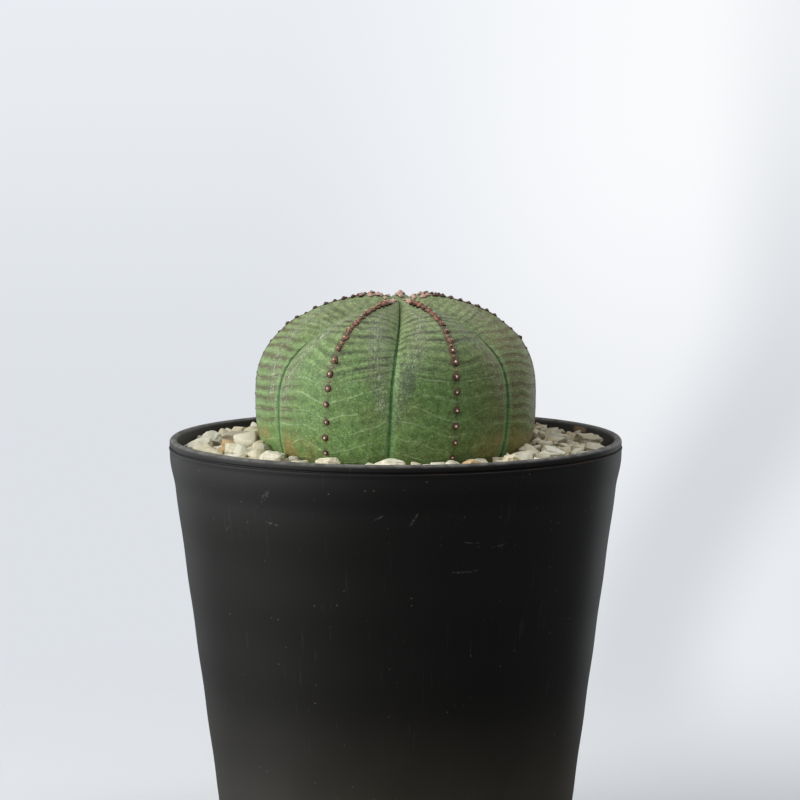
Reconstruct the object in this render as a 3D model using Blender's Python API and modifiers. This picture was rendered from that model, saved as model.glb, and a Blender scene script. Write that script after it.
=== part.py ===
"""A ribbed globe succulent in a tapered nursery pot, top-dressed with pale angular gravel.

Metres, +Z up. The origin is the centre of the pot's foot, on the surface it stands on.
The plant's front faces -Y, and angles around it are counted from there towards +X.
"""

import math
import random

import bmesh
import bpy
from mathutils import Matrix, Vector

# Pot
POT_HEIGHT = 0.105
RIM_RADIUS = 0.0525
BASE_RADIUS = 0.039
WALL = 0.0018
COLLAR_HEIGHT = 0.0063
COLLAR_STEP = 0.0007
LIP_HEIGHT = 0.0017
LIP_GROOVE = 0.0003
FOOT_HEIGHT = 0.002
FOOT_WIDTH = 0.003
FLOOR_THICKNESS = 0.0018
DRAIN_RADIUS = 0.004
DRAIN_RING_RADIUS = 0.024
DRAIN_RING_COUNT = 6

# What fills the pot, measured from the rim's crest or the floor
CLEARANCE = 0.0003
DRAINAGE_DEPTH = 0.012
SOIL_BELOW_RIM = 0.0095
BED_BELOW_RIM_AT_WALL = 0.0054
BED_BELOW_RIM_AT_STEM = 0.0042

# Stem
STEM_RADIUS = 0.0325
STEM_EQUATOR_ABOVE_RIM = 0.0098
STEM_RISE = 0.0234
STEM_UNDER = 0.025
STEM_LEAN = 0.0008
CROWN_DIMPLE = 0.0016
CROWN_DIMPLE_RADIUS = 0.0045
UPPER_FULLNESS = 2.58
LOWER_FULLNESS = 2.8
RIBS = 7
RIB_TURN = math.radians(-2.0)
FRONT_RIB_WIDENING = math.radians(2.8)
FURROW_DEPTH_EQUATOR = 0.0010
FURROW_DEPTH_SHOULDER = 0.0040

# Crown buds
BUD_RADIUS = 0.0010
REAR_BUD_RADIUS = 0.0012
BUD_FLATNESS = 0.72
BUD_POLAR_ANGLE = math.radians(13.0)

# Roots
TAPROOT_RADIUS = 0.006
TAPROOT_TIP_RADIUS = 0.0012
TAPROOT_LENGTH = 0.045
SIDE_ROOTS = 5
SIDE_ROOT_RADIUS = 0.0010
SIDE_ROOT_REACH = 0.026
SIDE_ROOT_DROP = 0.011
SIDE_ROOT_FIRST_DEPTH = 0.007
SIDE_ROOT_SPACING = 0.0055

# Gravel
INNER_STONES = 15
OUTER_STONES = 21
LARGEST_STONE = 0.0084
SMALLEST_STONE = 0.0056
STONE_TOP_IN_FRONT = -0.0006
STONE_TOP_BEHIND = 0.0014
OUTER_RING_LOWER = 0.0008
THINNEST_STONE = 0.0024
# The front stones that show most: number, length, and degrees from its even place in the ring
CHOSEN_STONES = {1: (0.0081, 0.0), 2: (0.0046, 7.0), 3: (0.0058, -4.0), 15: (0.0058, 2.0)}
STONE_SEED = 11

TURN_STEPS = 64
BOWL_STEPS = 8
BED_STEPS = 4
FILL_STEPS = 48
MERGE = 0.00005

POT_TOP_OF_FLOOR = FOOT_HEIGHT + FLOOR_THICKNESS
SOIL_TOP = POT_HEIGHT - SOIL_BELOW_RIM
SOIL_BASE = POT_TOP_OF_FLOOR + DRAINAGE_DEPTH + CLEARANCE
STEM_EQUATOR = POT_HEIGHT + STEM_EQUATOR_ABOVE_RIM
STEM_BOTTOM = STEM_EQUATOR - STEM_UNDER
TAPROOT_TOP = STEM_BOTTOM - CLEARANCE


def clear_scene():
    for obj in list(bpy.data.objects):
        bpy.data.objects.remove(obj, do_unlink=True)


def make_collection(name):
    collection = bpy.data.collections.new(name)
    bpy.context.scene.collection.children.link(collection)
    return collection


def make_material(name, color, roughness, metallic=0.0):
    material = bpy.data.materials.new(name)
    material.use_nodes = True
    shader = material.node_tree.nodes["Principled BSDF"]
    shader.inputs["Base Color"].default_value = (*color, 1.0)
    shader.inputs["Roughness"].default_value = roughness
    shader.inputs["Metallic"].default_value = metallic
    return material


def add_object(name, data, collection, material):
    obj = bpy.data.objects.new(name, data)
    collection.objects.link(obj)
    if material:
        data.materials.append(material)
    return obj


def add_mesh_object(name, mesh, collection, material, sharp_angle=35.0):
    obj = add_object(name, mesh, collection, material)
    mesh.shade_smooth()
    mesh.set_sharp_from_angle(angle=math.radians(sharp_angle))
    return obj


def hide_as_cutter(obj):
    obj.hide_render = True
    obj.display_type = "WIRE"


def add_turned(name, profile, collection, material, steps):
    """A solid turned about Z from (radius, height) points that run down the outer side."""
    mesh = bpy.data.meshes.new(name)
    points = [(radius, 0.0, height) for radius, height in profile]
    mesh.from_pydata(points, [(i, i + 1) for i in range(len(points) - 1)], [])
    obj = add_object(name, mesh, collection, material)
    screw = obj.modifiers.new("Turn", "SCREW")
    screw.axis = "Z"
    screw.steps = steps
    screw.render_steps = steps
    screw.use_merge_vertices = True
    screw.merge_threshold = MERGE
    screw.use_smooth_shade = True
    return obj


def cut(obj, cutters):
    for cutter in cutters:
        boolean = obj.modifiers.new("Cut_" + cutter.name, "BOOLEAN")
        boolean.operation = "DIFFERENCE"
        boolean.solver = "EXACT"
        boolean.object = cutter
        hide_as_cutter(cutter)


# Pot

def pot_outer_radius(height):
    """The plain tapered wall under the collar."""
    top = POT_HEIGHT - COLLAR_HEIGHT
    return BASE_RADIUS + (RIM_RADIUS - COLLAR_STEP - BASE_RADIUS) * height / top


def pot_inner_radius(height):
    return pot_outer_radius(height) - WALL


def pot_profile():
    lip_base = POT_HEIGHT - LIP_HEIGHT
    collar_base = POT_HEIGHT - COLLAR_HEIGHT
    inner_top = pot_inner_radius(lip_base)
    lip_middle = 0.5 * (RIM_RADIUS - LIP_GROOVE + inner_top)
    lip_half_width = RIM_RADIUS - LIP_GROOVE - lip_middle
    lip_round = LIP_HEIGHT * 0.55
    profile = [
        (0.0, POT_TOP_OF_FLOOR),
        (pot_inner_radius(POT_TOP_OF_FLOOR) - WALL, POT_TOP_OF_FLOOR),
        (pot_inner_radius(POT_TOP_OF_FLOOR + WALL), POT_TOP_OF_FLOOR + WALL),
        (inner_top, POT_HEIGHT - lip_round),
    ]
    for step in range(1, 6):
        angle = math.pi - math.pi * step / 6
        profile.append((
            lip_middle + lip_half_width * math.cos(angle),
            POT_HEIGHT - lip_round + lip_round * math.sin(angle),
        ))
    profile += [
        (RIM_RADIUS - LIP_GROOVE * 0.5, POT_HEIGHT - lip_round),
        (RIM_RADIUS - LIP_GROOVE * 0.5, lip_base + LIP_GROOVE),
        (RIM_RADIUS - 2 * LIP_GROOVE, lip_base),
        (RIM_RADIUS, lip_base - LIP_GROOVE),
        (RIM_RADIUS - LIP_GROOVE, collar_base + COLLAR_STEP),
        (pot_outer_radius(collar_base), collar_base),
        (pot_outer_radius(WALL), WALL),
        (BASE_RADIUS - 0.3 * WALL, 0.0),
        (BASE_RADIUS - FOOT_WIDTH, 0.0),
        (BASE_RADIUS - FOOT_WIDTH - 0.3 * WALL, FOOT_HEIGHT),
        (0.0, FOOT_HEIGHT),
    ]
    return profile


def add_drain_cutter(name, x, y, cutters):
    mesh = bpy.data.meshes.new(name)
    shape = bmesh.new()
    bmesh.ops.create_cone(
        shape, cap_ends=True, segments=16, radius1=DRAIN_RADIUS, radius2=DRAIN_RADIUS,
        depth=4 * FLOOR_THICKNESS,
    )
    shape.to_mesh(mesh)
    shape.free()
    cutter = add_object(name, mesh, cutters, None)
    cutter.location = (x, y, FOOT_HEIGHT + 0.5 * FLOOR_THICKNESS)
    return cutter


def make_pot(parts, cutters):
    plastic = make_material("pot_plastic", (0.012, 0.012, 0.012), 0.55)
    pot = add_turned("pot", pot_profile(), parts, plastic, TURN_STEPS)
    holes = [add_drain_cutter("drain_hole_centre", 0.0, 0.0, cutters)]
    for i in range(DRAIN_RING_COUNT):
        angle = 2 * math.pi * i / DRAIN_RING_COUNT
        holes.append(add_drain_cutter(
            f"drain_hole_{i + 1}",
            DRAIN_RING_RADIUS * math.cos(angle),
            DRAIN_RING_RADIUS * math.sin(angle),
            cutters,
        ))
    cut(pot, holes)


# Stem

def stem_profile(polar):
    """Radius, height and outward normal of a ridge line at an angle down from the crown."""
    upper = polar <= math.pi / 2
    reach = STEM_RISE if upper else -STEM_UNDER
    power_r = 2.0 if upper else LOWER_FULLNESS
    power_z = UPPER_FULLNESS if upper else LOWER_FULLNESS
    across = max(math.sin(polar), 0.0) ** (2 / power_r)
    along = abs(math.cos(polar)) ** (2 / power_z)
    normal = Vector((
        power_r / STEM_RADIUS * across ** (power_r - 1),
        power_z / reach * along ** (power_z - 1),
    )).normalized()
    return STEM_RADIUS * across, STEM_EQUATOR + reach * along, normal


def furrow_depth(polar):
    """How far a furrow lies under the ridges beside it."""
    across = math.sin(polar)
    if polar > math.pi / 2:
        return FURROW_DEPTH_EQUATOR * across
    swell = math.sin(math.pi * (1 - across) ** 0.7)
    depth = FURROW_DEPTH_EQUATOR + (FURROW_DEPTH_SHOULDER - FURROW_DEPTH_EQUATOR) * swell
    return depth * min(4 * across, 1.0) ** 0.5


def rib_section(turn):
    """0 on a ridge, 1 in a furrow; turn 0 is the front furrow."""
    rib = 2 * math.pi / RIBS
    share = abs((turn % rib) / rib - 0.5) * 2
    return 0.75 * share ** 2 + 0.25 * share ** 12


def stem_point(turn, polar, lift=0.0):
    """A point on the skin, or a distance above it; turn counts ribs evenly from the front furrow."""
    radius, height, normal = stem_profile(polar)
    move = lift - furrow_depth(polar) * rib_section(turn)
    radius += normal[0] * move
    height += normal[1] * move
    if polar < math.pi / 2:
        height -= CROWN_DIMPLE * math.exp(-(radius / CROWN_DIMPLE_RADIUS) ** 2)
    azimuth = turn + FRONT_RIB_WIDENING * math.sin(turn) + RIB_TURN
    rise = min(max((height - STEM_EQUATOR) / STEM_RISE, 0.0), 1.0)
    return Vector((
        radius * math.sin(azimuth) + STEM_LEAN * rise ** 2,
        -radius * math.cos(azimuth),
        height,
    ))


def make_stem(parts):
    skin = make_material("stem_skin", (0.13, 0.22, 0.08), 0.5)
    mesh = bpy.data.meshes.new("stem")
    shape = bmesh.new()
    bmesh.ops.create_uvsphere(shape, u_segments=12 * RIBS, v_segments=20, radius=1.0)
    for vertex in shape.verts:
        x, y, z = vertex.co
        polar = math.acos(min(max(z, -1.0), 1.0))
        turn = math.atan2(x, -y) if math.hypot(x, y) > 1e-6 else 0.0
        vertex.co = stem_point(turn, polar)
    shape.to_mesh(mesh)
    shape.free()
    add_mesh_object("stem", mesh, parts, skin, 60.0)


def make_crown_buds(parts):
    husk = make_material("bud_husk", (0.26, 0.10, 0.06), 0.7)
    rear = (RIBS - 1) // 2
    for i in range(RIBS):
        radius = REAR_BUD_RADIUS if i == rear else BUD_RADIUS
        mesh = bpy.data.meshes.new(f"crown_bud_{i + 1}")
        shape = bmesh.new()
        bmesh.ops.create_icosphere(shape, subdivisions=2, radius=radius)
        bmesh.ops.scale(shape, vec=(1.0, 1.0, BUD_FLATNESS), verts=shape.verts)
        shape.to_mesh(mesh)
        shape.free()
        bud = add_mesh_object(mesh.name, mesh, parts, husk)
        turn = 2 * math.pi * (i + 0.5) / RIBS
        polar = BUD_POLAR_ANGLE * (1.2 if i == rear else 1.0)
        bud.location = stem_point(turn, polar, radius * BUD_FLATNESS + CLEARANCE)


# Roots

def taproot_radius(depth):
    share = depth / TAPROOT_LENGTH
    return TAPROOT_TIP_RADIUS + (TAPROOT_RADIUS - TAPROOT_TIP_RADIUS) * (1 - share) ** 1.4


def taproot_profile(grow, top):
    profile = [(0.0, top)]
    for step in range(9):
        depth = TAPROOT_LENGTH * step / 8
        profile.append((taproot_radius(depth) + grow, TAPROOT_TOP - depth))
    profile[1] = (profile[1][0], top)
    tip = TAPROOT_TOP - TAPROOT_LENGTH - TAPROOT_TIP_RADIUS - grow
    return profile + [(0.0, tip)]


def side_root_points(index, start_inside):
    """A root's centre line, from the taproot outwards and down, with a slow wander."""
    depth = SIDE_ROOT_FIRST_DEPTH + SIDE_ROOT_SPACING * index
    heading = 2 * math.pi * index * 2 / SIDE_ROOTS + 0.5
    start = taproot_radius(depth) + CLEARANCE
    points = []
    for step in range(9):
        share = step / 8
        reach = start + SIDE_ROOT_REACH * share
        if step == 0 and start_inside:
            reach = 0.5 * taproot_radius(depth)
        bend = heading + 0.35 * math.sin(2.6 * share + index) * share
        points.append(Vector((
            reach * math.cos(bend),
            reach * math.sin(bend),
            TAPROOT_TOP - depth - SIDE_ROOT_DROP * share ** 1.6,
        )))
    return points


def add_tube(name, points, radius, collection, material):
    curve = bpy.data.curves.new(name, "CURVE")
    curve.dimensions = "3D"
    curve.bevel_depth = radius
    curve.bevel_resolution = 2
    curve.use_fill_caps = True
    spline = curve.splines.new("POLY")
    spline.points.add(len(points) - 1)
    for point, co in zip(spline.points, points):
        point.co = (*co, 1.0)
    return add_object(name, curve, collection, material)


def tube_to_mesh(tube, collection):
    """The tube as a mesh object with its caps welded, which a Boolean can read."""
    bpy.context.view_layer.update()
    evaluated = tube.evaluated_get(bpy.context.evaluated_depsgraph_get())
    mesh = bpy.data.meshes.new_from_object(evaluated)
    shape = bmesh.new()
    shape.from_mesh(mesh)
    bmesh.ops.remove_doubles(shape, verts=shape.verts, dist=MERGE)
    bmesh.ops.recalc_face_normals(shape, faces=shape.faces)
    shape.to_mesh(mesh)
    shape.free()
    solid = add_object(tube.name + "_mesh", mesh, collection, None)
    solid.matrix_world = tube.matrix_world
    bpy.data.objects.remove(tube, do_unlink=True)
    return solid


def make_roots(parts, cutters):
    """The taproot and side roots, and the cutters that leave room for them in the soil."""
    bark = make_material("root_bark", (0.35, 0.25, 0.15), 0.8)
    add_turned("taproot", taproot_profile(0.0, TAPROOT_TOP), parts, bark, 16)
    open_top = STEM_BOTTOM + 4 * CLEARANCE
    rooms = [add_turned(
        "taproot_room", taproot_profile(CLEARANCE, open_top), cutters, None, 16,
    )]
    for i in range(SIDE_ROOTS):
        name = f"side_root_{i + 1}"
        add_tube(name, side_root_points(i, False), SIDE_ROOT_RADIUS, parts, bark)
        room = side_root_points(i, True)
        room[-1] += (room[-1] - room[-2]).normalized() * 2 * CLEARANCE
        tube = add_tube(name + "_room", room, SIDE_ROOT_RADIUS + 2 * CLEARANCE, cutters, None)
        rooms.append(tube_to_mesh(tube, cutters))
    return rooms


# What fills the pot

def make_drainage(parts):
    grit = make_material("drainage_grit", (0.30, 0.27, 0.23), 0.9)
    top = POT_TOP_OF_FLOOR + DRAINAGE_DEPTH
    base = POT_TOP_OF_FLOOR + CLEARANCE
    bevel = WALL + CLEARANCE
    profile = [
        (0.0, top),
        (pot_inner_radius(top) - CLEARANCE, top),
        (pot_inner_radius(base + bevel) - CLEARANCE, base + bevel),
        (pot_inner_radius(base) - CLEARANCE - bevel, base),
        (0.0, base),
    ]
    add_turned("drainage_stones", profile, parts, grit, FILL_STEPS)


def bowl_radius(height):
    """The hollow in the soil that the stem's underside sits in."""
    share = (STEM_EQUATOR - height) / (STEM_UNDER + CLEARANCE)
    return (STEM_RADIUS + CLEARANCE) * max(1 - share ** LOWER_FULLNESS, 0.0) ** (1 / LOWER_FULLNESS)


def make_soil(parts, rooms):
    mix = make_material("potting_mix", (0.10, 0.07, 0.045), 0.95)
    bowl_base = STEM_BOTTOM - CLEARANCE
    profile = [(0.0, bowl_base)]
    for step in range(1, BOWL_STEPS + 1):
        height = bowl_base + (SOIL_TOP - bowl_base) * (step / BOWL_STEPS) ** 2
        profile.append((bowl_radius(height), height))
    profile += [
        (pot_inner_radius(SOIL_TOP) - CLEARANCE, SOIL_TOP),
        (pot_inner_radius(SOIL_BASE) - CLEARANCE, SOIL_BASE),
        (0.0, SOIL_BASE),
    ]
    soil = add_turned("soil", profile, parts, mix, FILL_STEPS)
    cut(soil, rooms)


def bed_top(radius):
    """The gravel bed's height under the loose stones, rising towards the stem."""
    inner = STEM_RADIUS + CLEARANCE
    outer = pot_inner_radius(POT_HEIGHT - BED_BELOW_RIM_AT_WALL) - CLEARANCE
    share = (outer - radius) / (outer - inner)
    rise = BED_BELOW_RIM_AT_WALL - BED_BELOW_RIM_AT_STEM
    return POT_HEIGHT - BED_BELOW_RIM_AT_WALL + rise * share


def make_gravel_bed(parts, material):
    """A ring of gravel between the stem and the wall, on the soil."""
    outer_top = pot_inner_radius(POT_HEIGHT - BED_BELOW_RIM_AT_WALL) - CLEARANCE
    base = SOIL_TOP + CLEARANCE
    top = POT_HEIGHT - BED_BELOW_RIM_AT_STEM
    profile = []
    for step in range(BED_STEPS + 1):
        height = base + (top - base) * step / BED_STEPS
        profile.append((bowl_radius(height), height))
    profile += [
        (outer_top, bed_top(outer_top)),
        (pot_inner_radius(base) - CLEARANCE, base),
        profile[0],
    ]
    add_turned("gravel_bed", profile, parts, material, TURN_STEPS)


def add_stone(name, size, location, turn, chance, parts, material):
    """An angular stone that fills its length, width and height."""
    mesh = bpy.data.meshes.new(name)
    shape = bmesh.new()
    bmesh.ops.create_icosphere(shape, subdivisions=1, radius=1.0)
    for vertex in shape.verts:
        vertex.co *= chance.uniform(0.82, 1.0)
    low = [min(v.co[i] for v in shape.verts) for i in range(3)]
    high = [max(v.co[i] for v in shape.verts) for i in range(3)]
    for vertex in shape.verts:
        for i in range(3):
            share = (vertex.co[i] - low[i]) / (high[i] - low[i])
            vertex.co[i] = (share - 0.5) * size[i]
    shape.to_mesh(mesh)
    shape.free()
    mesh.materials.append(material)
    stone = bpy.data.objects.new(name, mesh)
    parts.objects.link(stone)
    stone.matrix_world = Matrix.Translation(location) @ Matrix.Rotation(turn, 4, "Z")
    return stone


def stone_top(azimuth, ring):
    """How high a loose stone may stand: lower in front and in the outer ring."""
    behind = 0.5 - 0.5 * math.cos(azimuth)
    top = STONE_TOP_IN_FRONT + (STONE_TOP_BEHIND - STONE_TOP_IN_FRONT) * behind
    return POT_HEIGHT + top - OUTER_RING_LOWER * ring


def make_gravel_stones(parts, material):
    """Two rings of loose stones on the bed, each with its own share of the ring."""
    chance = random.Random(STONE_SEED)
    inner = STEM_RADIUS + CLEARANCE
    outer = pot_inner_radius(POT_HEIGHT - BED_BELOW_RIM_AT_WALL) - CLEARANCE
    lane = (outer - inner) / 2
    number = 0
    for ring, count in ((0, INNER_STONES), (1, OUTER_STONES)):
        middle = inner + lane * (ring + 0.5)
        slot = 2 * math.pi / count
        room = 2 * (inner + lane * ring) * math.tan(slot / 2)
        for i in range(count):
            number += 1
            widest = min(LARGEST_STONE, room, lane) - CLEARANCE
            length = chance.uniform(SMALLEST_STONE, LARGEST_STONE)
            aside = None
            if number in CHOSEN_STONES:
                length, aside = CHOSEN_STONES[number]
            length = min(length, widest)
            width = length * chance.uniform(0.72, 0.98)
            height = length * chance.uniform(0.46, 0.62)
            slack = 0.5 * (lane - CLEARANCE - width)
            radius = middle + chance.uniform(-slack, slack)
            spare = 0.5 * (room - CLEARANCE - length) / (inner + lane * (ring + 1))
            spread = chance.uniform(-spare, spare)
            if aside is not None:
                spread = max(-spare, min(spare, math.radians(aside)))
            azimuth = RIB_TURN + slot * i + spread
            lowest = bed_top(radius - width / 2) + CLEARANCE
            height = max(THINNEST_STONE, min(height, stone_top(azimuth, ring) - lowest))
            location = Vector((
                radius * math.sin(azimuth),
                -radius * math.cos(azimuth),
                lowest + height / 2,
            ))
            add_stone(
                f"gravel_stone_{number:02d}", (length, width, height), location,
                azimuth, chance, parts, material,
            )


def main():
    clear_scene()
    parts = make_collection("potted_ribbed_globe")
    cutters = make_collection("cutters")
    make_pot(parts, cutters)
    make_drainage(parts)
    rooms = make_roots(parts, cutters)
    make_soil(parts, rooms)
    gravel = make_material("gravel_stone", (0.62, 0.55, 0.43), 0.8)
    make_gravel_bed(parts, gravel)
    make_gravel_stones(parts, gravel)
    make_stem(parts)
    make_crown_buds(parts)


main()
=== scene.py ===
# %% [markdown]
# # A ribbed globe succulent in a black nursery pot
#
# The frame holds the plain solids: the pot, what fills it, the stem, its crown buds and the
# larger stones. This lesson dresses them. It turns a pot with a rolled lip, grows a stem with
# creased furrows and rows of bud scars, and scatters gravel stone by stone. Everything is in
# metres, +Z up, with the plant's front facing -Y.

# %% Load the frame
import math
import random

import bpy
from mathutils import Matrix, Vector


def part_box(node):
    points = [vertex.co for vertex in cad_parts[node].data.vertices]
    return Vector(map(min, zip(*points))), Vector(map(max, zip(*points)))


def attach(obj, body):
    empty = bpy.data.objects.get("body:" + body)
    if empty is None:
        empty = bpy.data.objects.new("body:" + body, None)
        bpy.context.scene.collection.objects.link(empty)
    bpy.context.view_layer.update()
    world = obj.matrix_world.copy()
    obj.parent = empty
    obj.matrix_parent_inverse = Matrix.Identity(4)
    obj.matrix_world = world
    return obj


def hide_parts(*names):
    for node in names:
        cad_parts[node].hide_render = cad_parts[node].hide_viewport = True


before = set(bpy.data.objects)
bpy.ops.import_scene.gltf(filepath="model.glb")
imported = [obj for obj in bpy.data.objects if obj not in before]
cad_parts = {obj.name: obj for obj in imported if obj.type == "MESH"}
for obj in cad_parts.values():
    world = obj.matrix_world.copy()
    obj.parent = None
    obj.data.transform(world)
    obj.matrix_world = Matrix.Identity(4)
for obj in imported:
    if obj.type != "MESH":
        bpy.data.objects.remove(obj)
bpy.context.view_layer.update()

MM = 0.001


def in_mm(box):
    return [[round(value / MM, 1) for value in corner] for corner in box]


# %% [markdown]
# ## Sizes taken from the frame
#
# The crest of the pot's lip is the level that everything above is measured from. The stem's
# greatest radius is read from its own solid, so the dressed stem follows it.

# %% Sizes
RIM_RADIUS, _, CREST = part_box("pot")[1]
STEM_RADIUS = max(math.hypot(v.co.x, v.co.y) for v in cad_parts["stem"].data.vertices)
EQUATOR = CREST + 9.8 * MM
STEM_RISE = 23.4 * MM
STEM_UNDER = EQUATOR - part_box("stem")[0].z
RIBS = 7
RIB_TURN = math.radians(-2.0)
FULL_TURN = 2 * math.pi
print(f"rim radius {RIM_RADIUS / MM:.1f}, crest {CREST / MM:.1f}, stem radius {STEM_RADIUS / MM:.2f}")

# %% [markdown]
# ## Small helpers
#
# Operators act on whatever is selected, so each piece starts with nothing selected. A finished
# piece has its place in its mesh, rides on the pot's body and knows its material slot.

# %% Selecting, applying and finishing
def nothing_selected():
    if bpy.context.object and bpy.context.object.mode != "OBJECT":
        bpy.ops.object.mode_set(mode="OBJECT")
    bpy.ops.object.select_all(action="DESELECT")


def only(obj):
    nothing_selected()
    obj.select_set(True)
    bpy.context.view_layer.objects.active = obj


def edit_all(obj):
    only(obj)
    bpy.ops.object.mode_set(mode="EDIT")
    bpy.ops.mesh.select_all(action="SELECT")


def apply_modifiers(obj):
    only(obj)
    for modifier in list(obj.modifiers):
        bpy.ops.object.modifier_apply(modifier=modifier.name)


def apply_place(obj):
    only(obj)
    bpy.ops.object.transform_apply(location=True, rotation=True, scale=True)


def finish_piece(obj, name, materials, replaced=()):
    apply_place(obj)
    obj.name = name
    obj.data.name = name
    for material in materials:
        obj.data.materials.append(material)
    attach(obj, "root")
    if replaced:
        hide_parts(*replaced)
    print(f"{name}: {len(obj.data.polygons)} faces")
    return obj


def copy_of(template, matrix):
    """A copy with its own mesh, its place already in the mesh."""
    copy = bpy.data.objects.new(template.name + "_copy", template.data.copy())
    bpy.context.scene.collection.objects.link(copy)
    copy.data.transform(matrix)
    return copy


def join(pieces):
    nothing_selected()
    for piece in pieces:
        piece.select_set(True)
    bpy.context.view_layer.objects.active = pieces[0]
    bpy.ops.object.join()
    return pieces[0]


# %% [markdown]
# ## Writing shader nodes
#
# These short functions add a node, set or link its inputs and hand back the output, so that a
# finish reads from top to bottom like a recipe. The tree needs no naming after the first node:
# a linked value knows which tree it belongs to.

# %% Shader helpers
def is_linked(value):
    return isinstance(value, bpy.types.NodeSocket)


def tree_of(*values):
    return next(value.id_data for value in values if is_linked(value))


def give(socket, value):
    """Links a value that comes from another node, or sets a plain one."""
    if is_linked(value):
        socket.id_data.links.new(value, socket)
    elif socket.type == "RGBA":
        socket.default_value = (*value, 1.0)
    else:
        socket.default_value = value


def add_node(tree, kind, inputs=(), **settings):
    node = tree.nodes.new(kind)
    for name, value in settings.items():
        setattr(node, name, value)
    for name, value in dict(inputs).items():
        give(node.inputs[name], value)
    return node


def calc(operation, *values):
    node = add_node(tree_of(*values), "ShaderNodeMath", operation=operation)
    for socket, value in zip(node.inputs, values):
        give(socket, value)
    return node.outputs[0]


def plus(*values):
    total = values[0]
    for value in values[1:]:
        total = calc("ADD", total, value)
    return total


def minus(first, second):
    return calc("SUBTRACT", first, second)


def times(*values):
    product = values[0]
    for value in values[1:]:
        product = calc("MULTIPLY", product, value)
    return product


def fade(value, low, high, out_low=0.0, out_high=1.0):
    """A smooth step: out_low where the value is low, out_high where it is high."""
    return add_node(tree_of(value), "ShaderNodeMapRange", {
        "Value": value, "From Min": low, "From Max": high, "To Min": out_low, "To Max": out_high,
    }, interpolation_type="SMOOTHSTEP").outputs["Result"]


def blended(factor, first, second, how="MIX"):
    tree = tree_of(factor, first, second)
    node = add_node(tree, "ShaderNodeMix", data_type="RGBA", blend_type=how)
    for number, value in ((0, factor), (6, first), (7, second)):
        give(node.inputs[number], value)
    return node.outputs[2]


def noise(vector, scale, detail=3.0, roughness=0.5):
    return add_node(tree_of(vector), "ShaderNodeTexNoise", {
        "Vector": vector, "Scale": scale, "Detail": detail, "Roughness": roughness}).outputs["Fac"]


def vector_math(operation, vector, other=(0.0, 0.0, 0.0)):
    return add_node(tree_of(vector), "ShaderNodeVectorMath", {0: vector, 1: other}, operation=operation)


def stretched(vector, x, y, z):
    return vector_math("MULTIPLY", vector, (x, y, z)).outputs["Vector"]


def shifted(vector):
    """The same place moved well away, so that a second pattern doesn't repeat the first."""
    return vector_math("ADD", vector, (31.7, 12.3, 5.1)).outputs["Vector"]


def length_of(vector):
    return vector_math("LENGTH", vector).outputs["Value"]


def parts_of(vector):
    return add_node(tree_of(vector), "ShaderNodeSeparateXYZ", {"Vector": vector}).outputs


def vector_of(x, y, z):
    return add_node(tree_of(x, y, z), "ShaderNodeCombineXYZ", {"X": x, "Y": y, "Z": z}).outputs["Vector"]


def grey(value):
    return vector_of(value, value, value)


def in_millimetres(tree):
    return stretched(add_node(tree, "ShaderNodeTexCoord").outputs["Object"], 1000.0, 1000.0, 1000.0)


def stored(tree, name, output="Fac"):
    """A value written into the mesh, read back by its attribute's name."""
    return add_node(tree, "ShaderNodeAttribute", attribute_name=name).outputs[output]


def new_finish(name, **constants):
    """A material with its Principled shader's plain values set on its own sockets."""
    material = bpy.data.materials.new(name)
    material.use_nodes = True
    shader = material.node_tree.nodes["Principled BSDF"]
    for socket, value in constants.items():
        shader.inputs[socket.replace("_", " ")].default_value = value
    return material, material.node_tree, shader


def connect(shader, **outputs):
    for socket, value in outputs.items():
        give(shader.inputs[socket.replace("_", " ")], value)


def bump(height, distance, strength):
    inputs = {"Height": height, "Distance": distance, "Strength": strength}
    return add_node(tree_of(height), "ShaderNodeBump", inputs).outputs["Normal"]


# %% [markdown]
# ## Shared effects
#
# Fine flecks sit on the skin, the stones and the plastic, and cloudy patches vary every finish.
# Each is a node group, built once, with its scale and amount as inputs.

# %% Node groups
def new_group(name, numbers):
    group = bpy.data.node_groups.new(name, "ShaderNodeTree")
    group.interface.new_socket("Vector", in_out="INPUT", socket_type="NodeSocketVector")
    for label in numbers:
        group.interface.new_socket(label, in_out="INPUT", socket_type="NodeSocketFloat")
    group.interface.new_socket("Mask", in_out="OUTPUT", socket_type="NodeSocketFloat")
    return group, group.nodes.new("NodeGroupInput").outputs, group.nodes.new("NodeGroupOutput").inputs


def make_fleck_group():
    """Small separate dots: near a cell's centre, and only in a share of the cells."""
    group, given, result = new_group("fine_flecks", ("Scale", "Amount", "Size"))
    cells = add_node(group, "ShaderNodeTexVoronoi", {
        "Vector": given["Vector"], "Scale": given["Scale"], "Randomness": 1.0}).outputs
    dot = fade(cells["Distance"], given["Size"], 0.0)
    chosen = add_node(group, "ShaderNodeSeparateColor", {"Color": cells["Color"]}).outputs
    kept = calc("LESS_THAN", chosen["Red"], given["Amount"])
    give(result["Mask"], times(dot, kept, chosen["Green"]))
    return group


def make_cloud_group():
    """Soft patches with a chosen contrast."""
    group, given, result = new_group("cloudy_patches", ("Scale", "Cover", "Softness"))
    cloud = noise(given["Vector"], given["Scale"], 4.0, 0.55)
    low = minus(1.0, given["Cover"])
    give(result["Mask"], fade(cloud, low, plus(low, given["Softness"])))
    return group


FLECKS = make_fleck_group()
CLOUDS = make_cloud_group()


def from_group(group, vector, **values):
    node = add_node(tree_of(vector), "ShaderNodeGroup", node_tree=group)
    for name, value in {"Vector": vector, **values}.items():
        give(node.inputs[name], value)
    return node.outputs["Mask"]


def flecks(vector, scale, amount, size):
    return from_group(FLECKS, vector, Scale=scale, Amount=amount, Size=size)


def patches(vector, scale, cover, softness):
    return from_group(CLOUDS, vector, Scale=scale, Cover=cover, Softness=softness)


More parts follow.
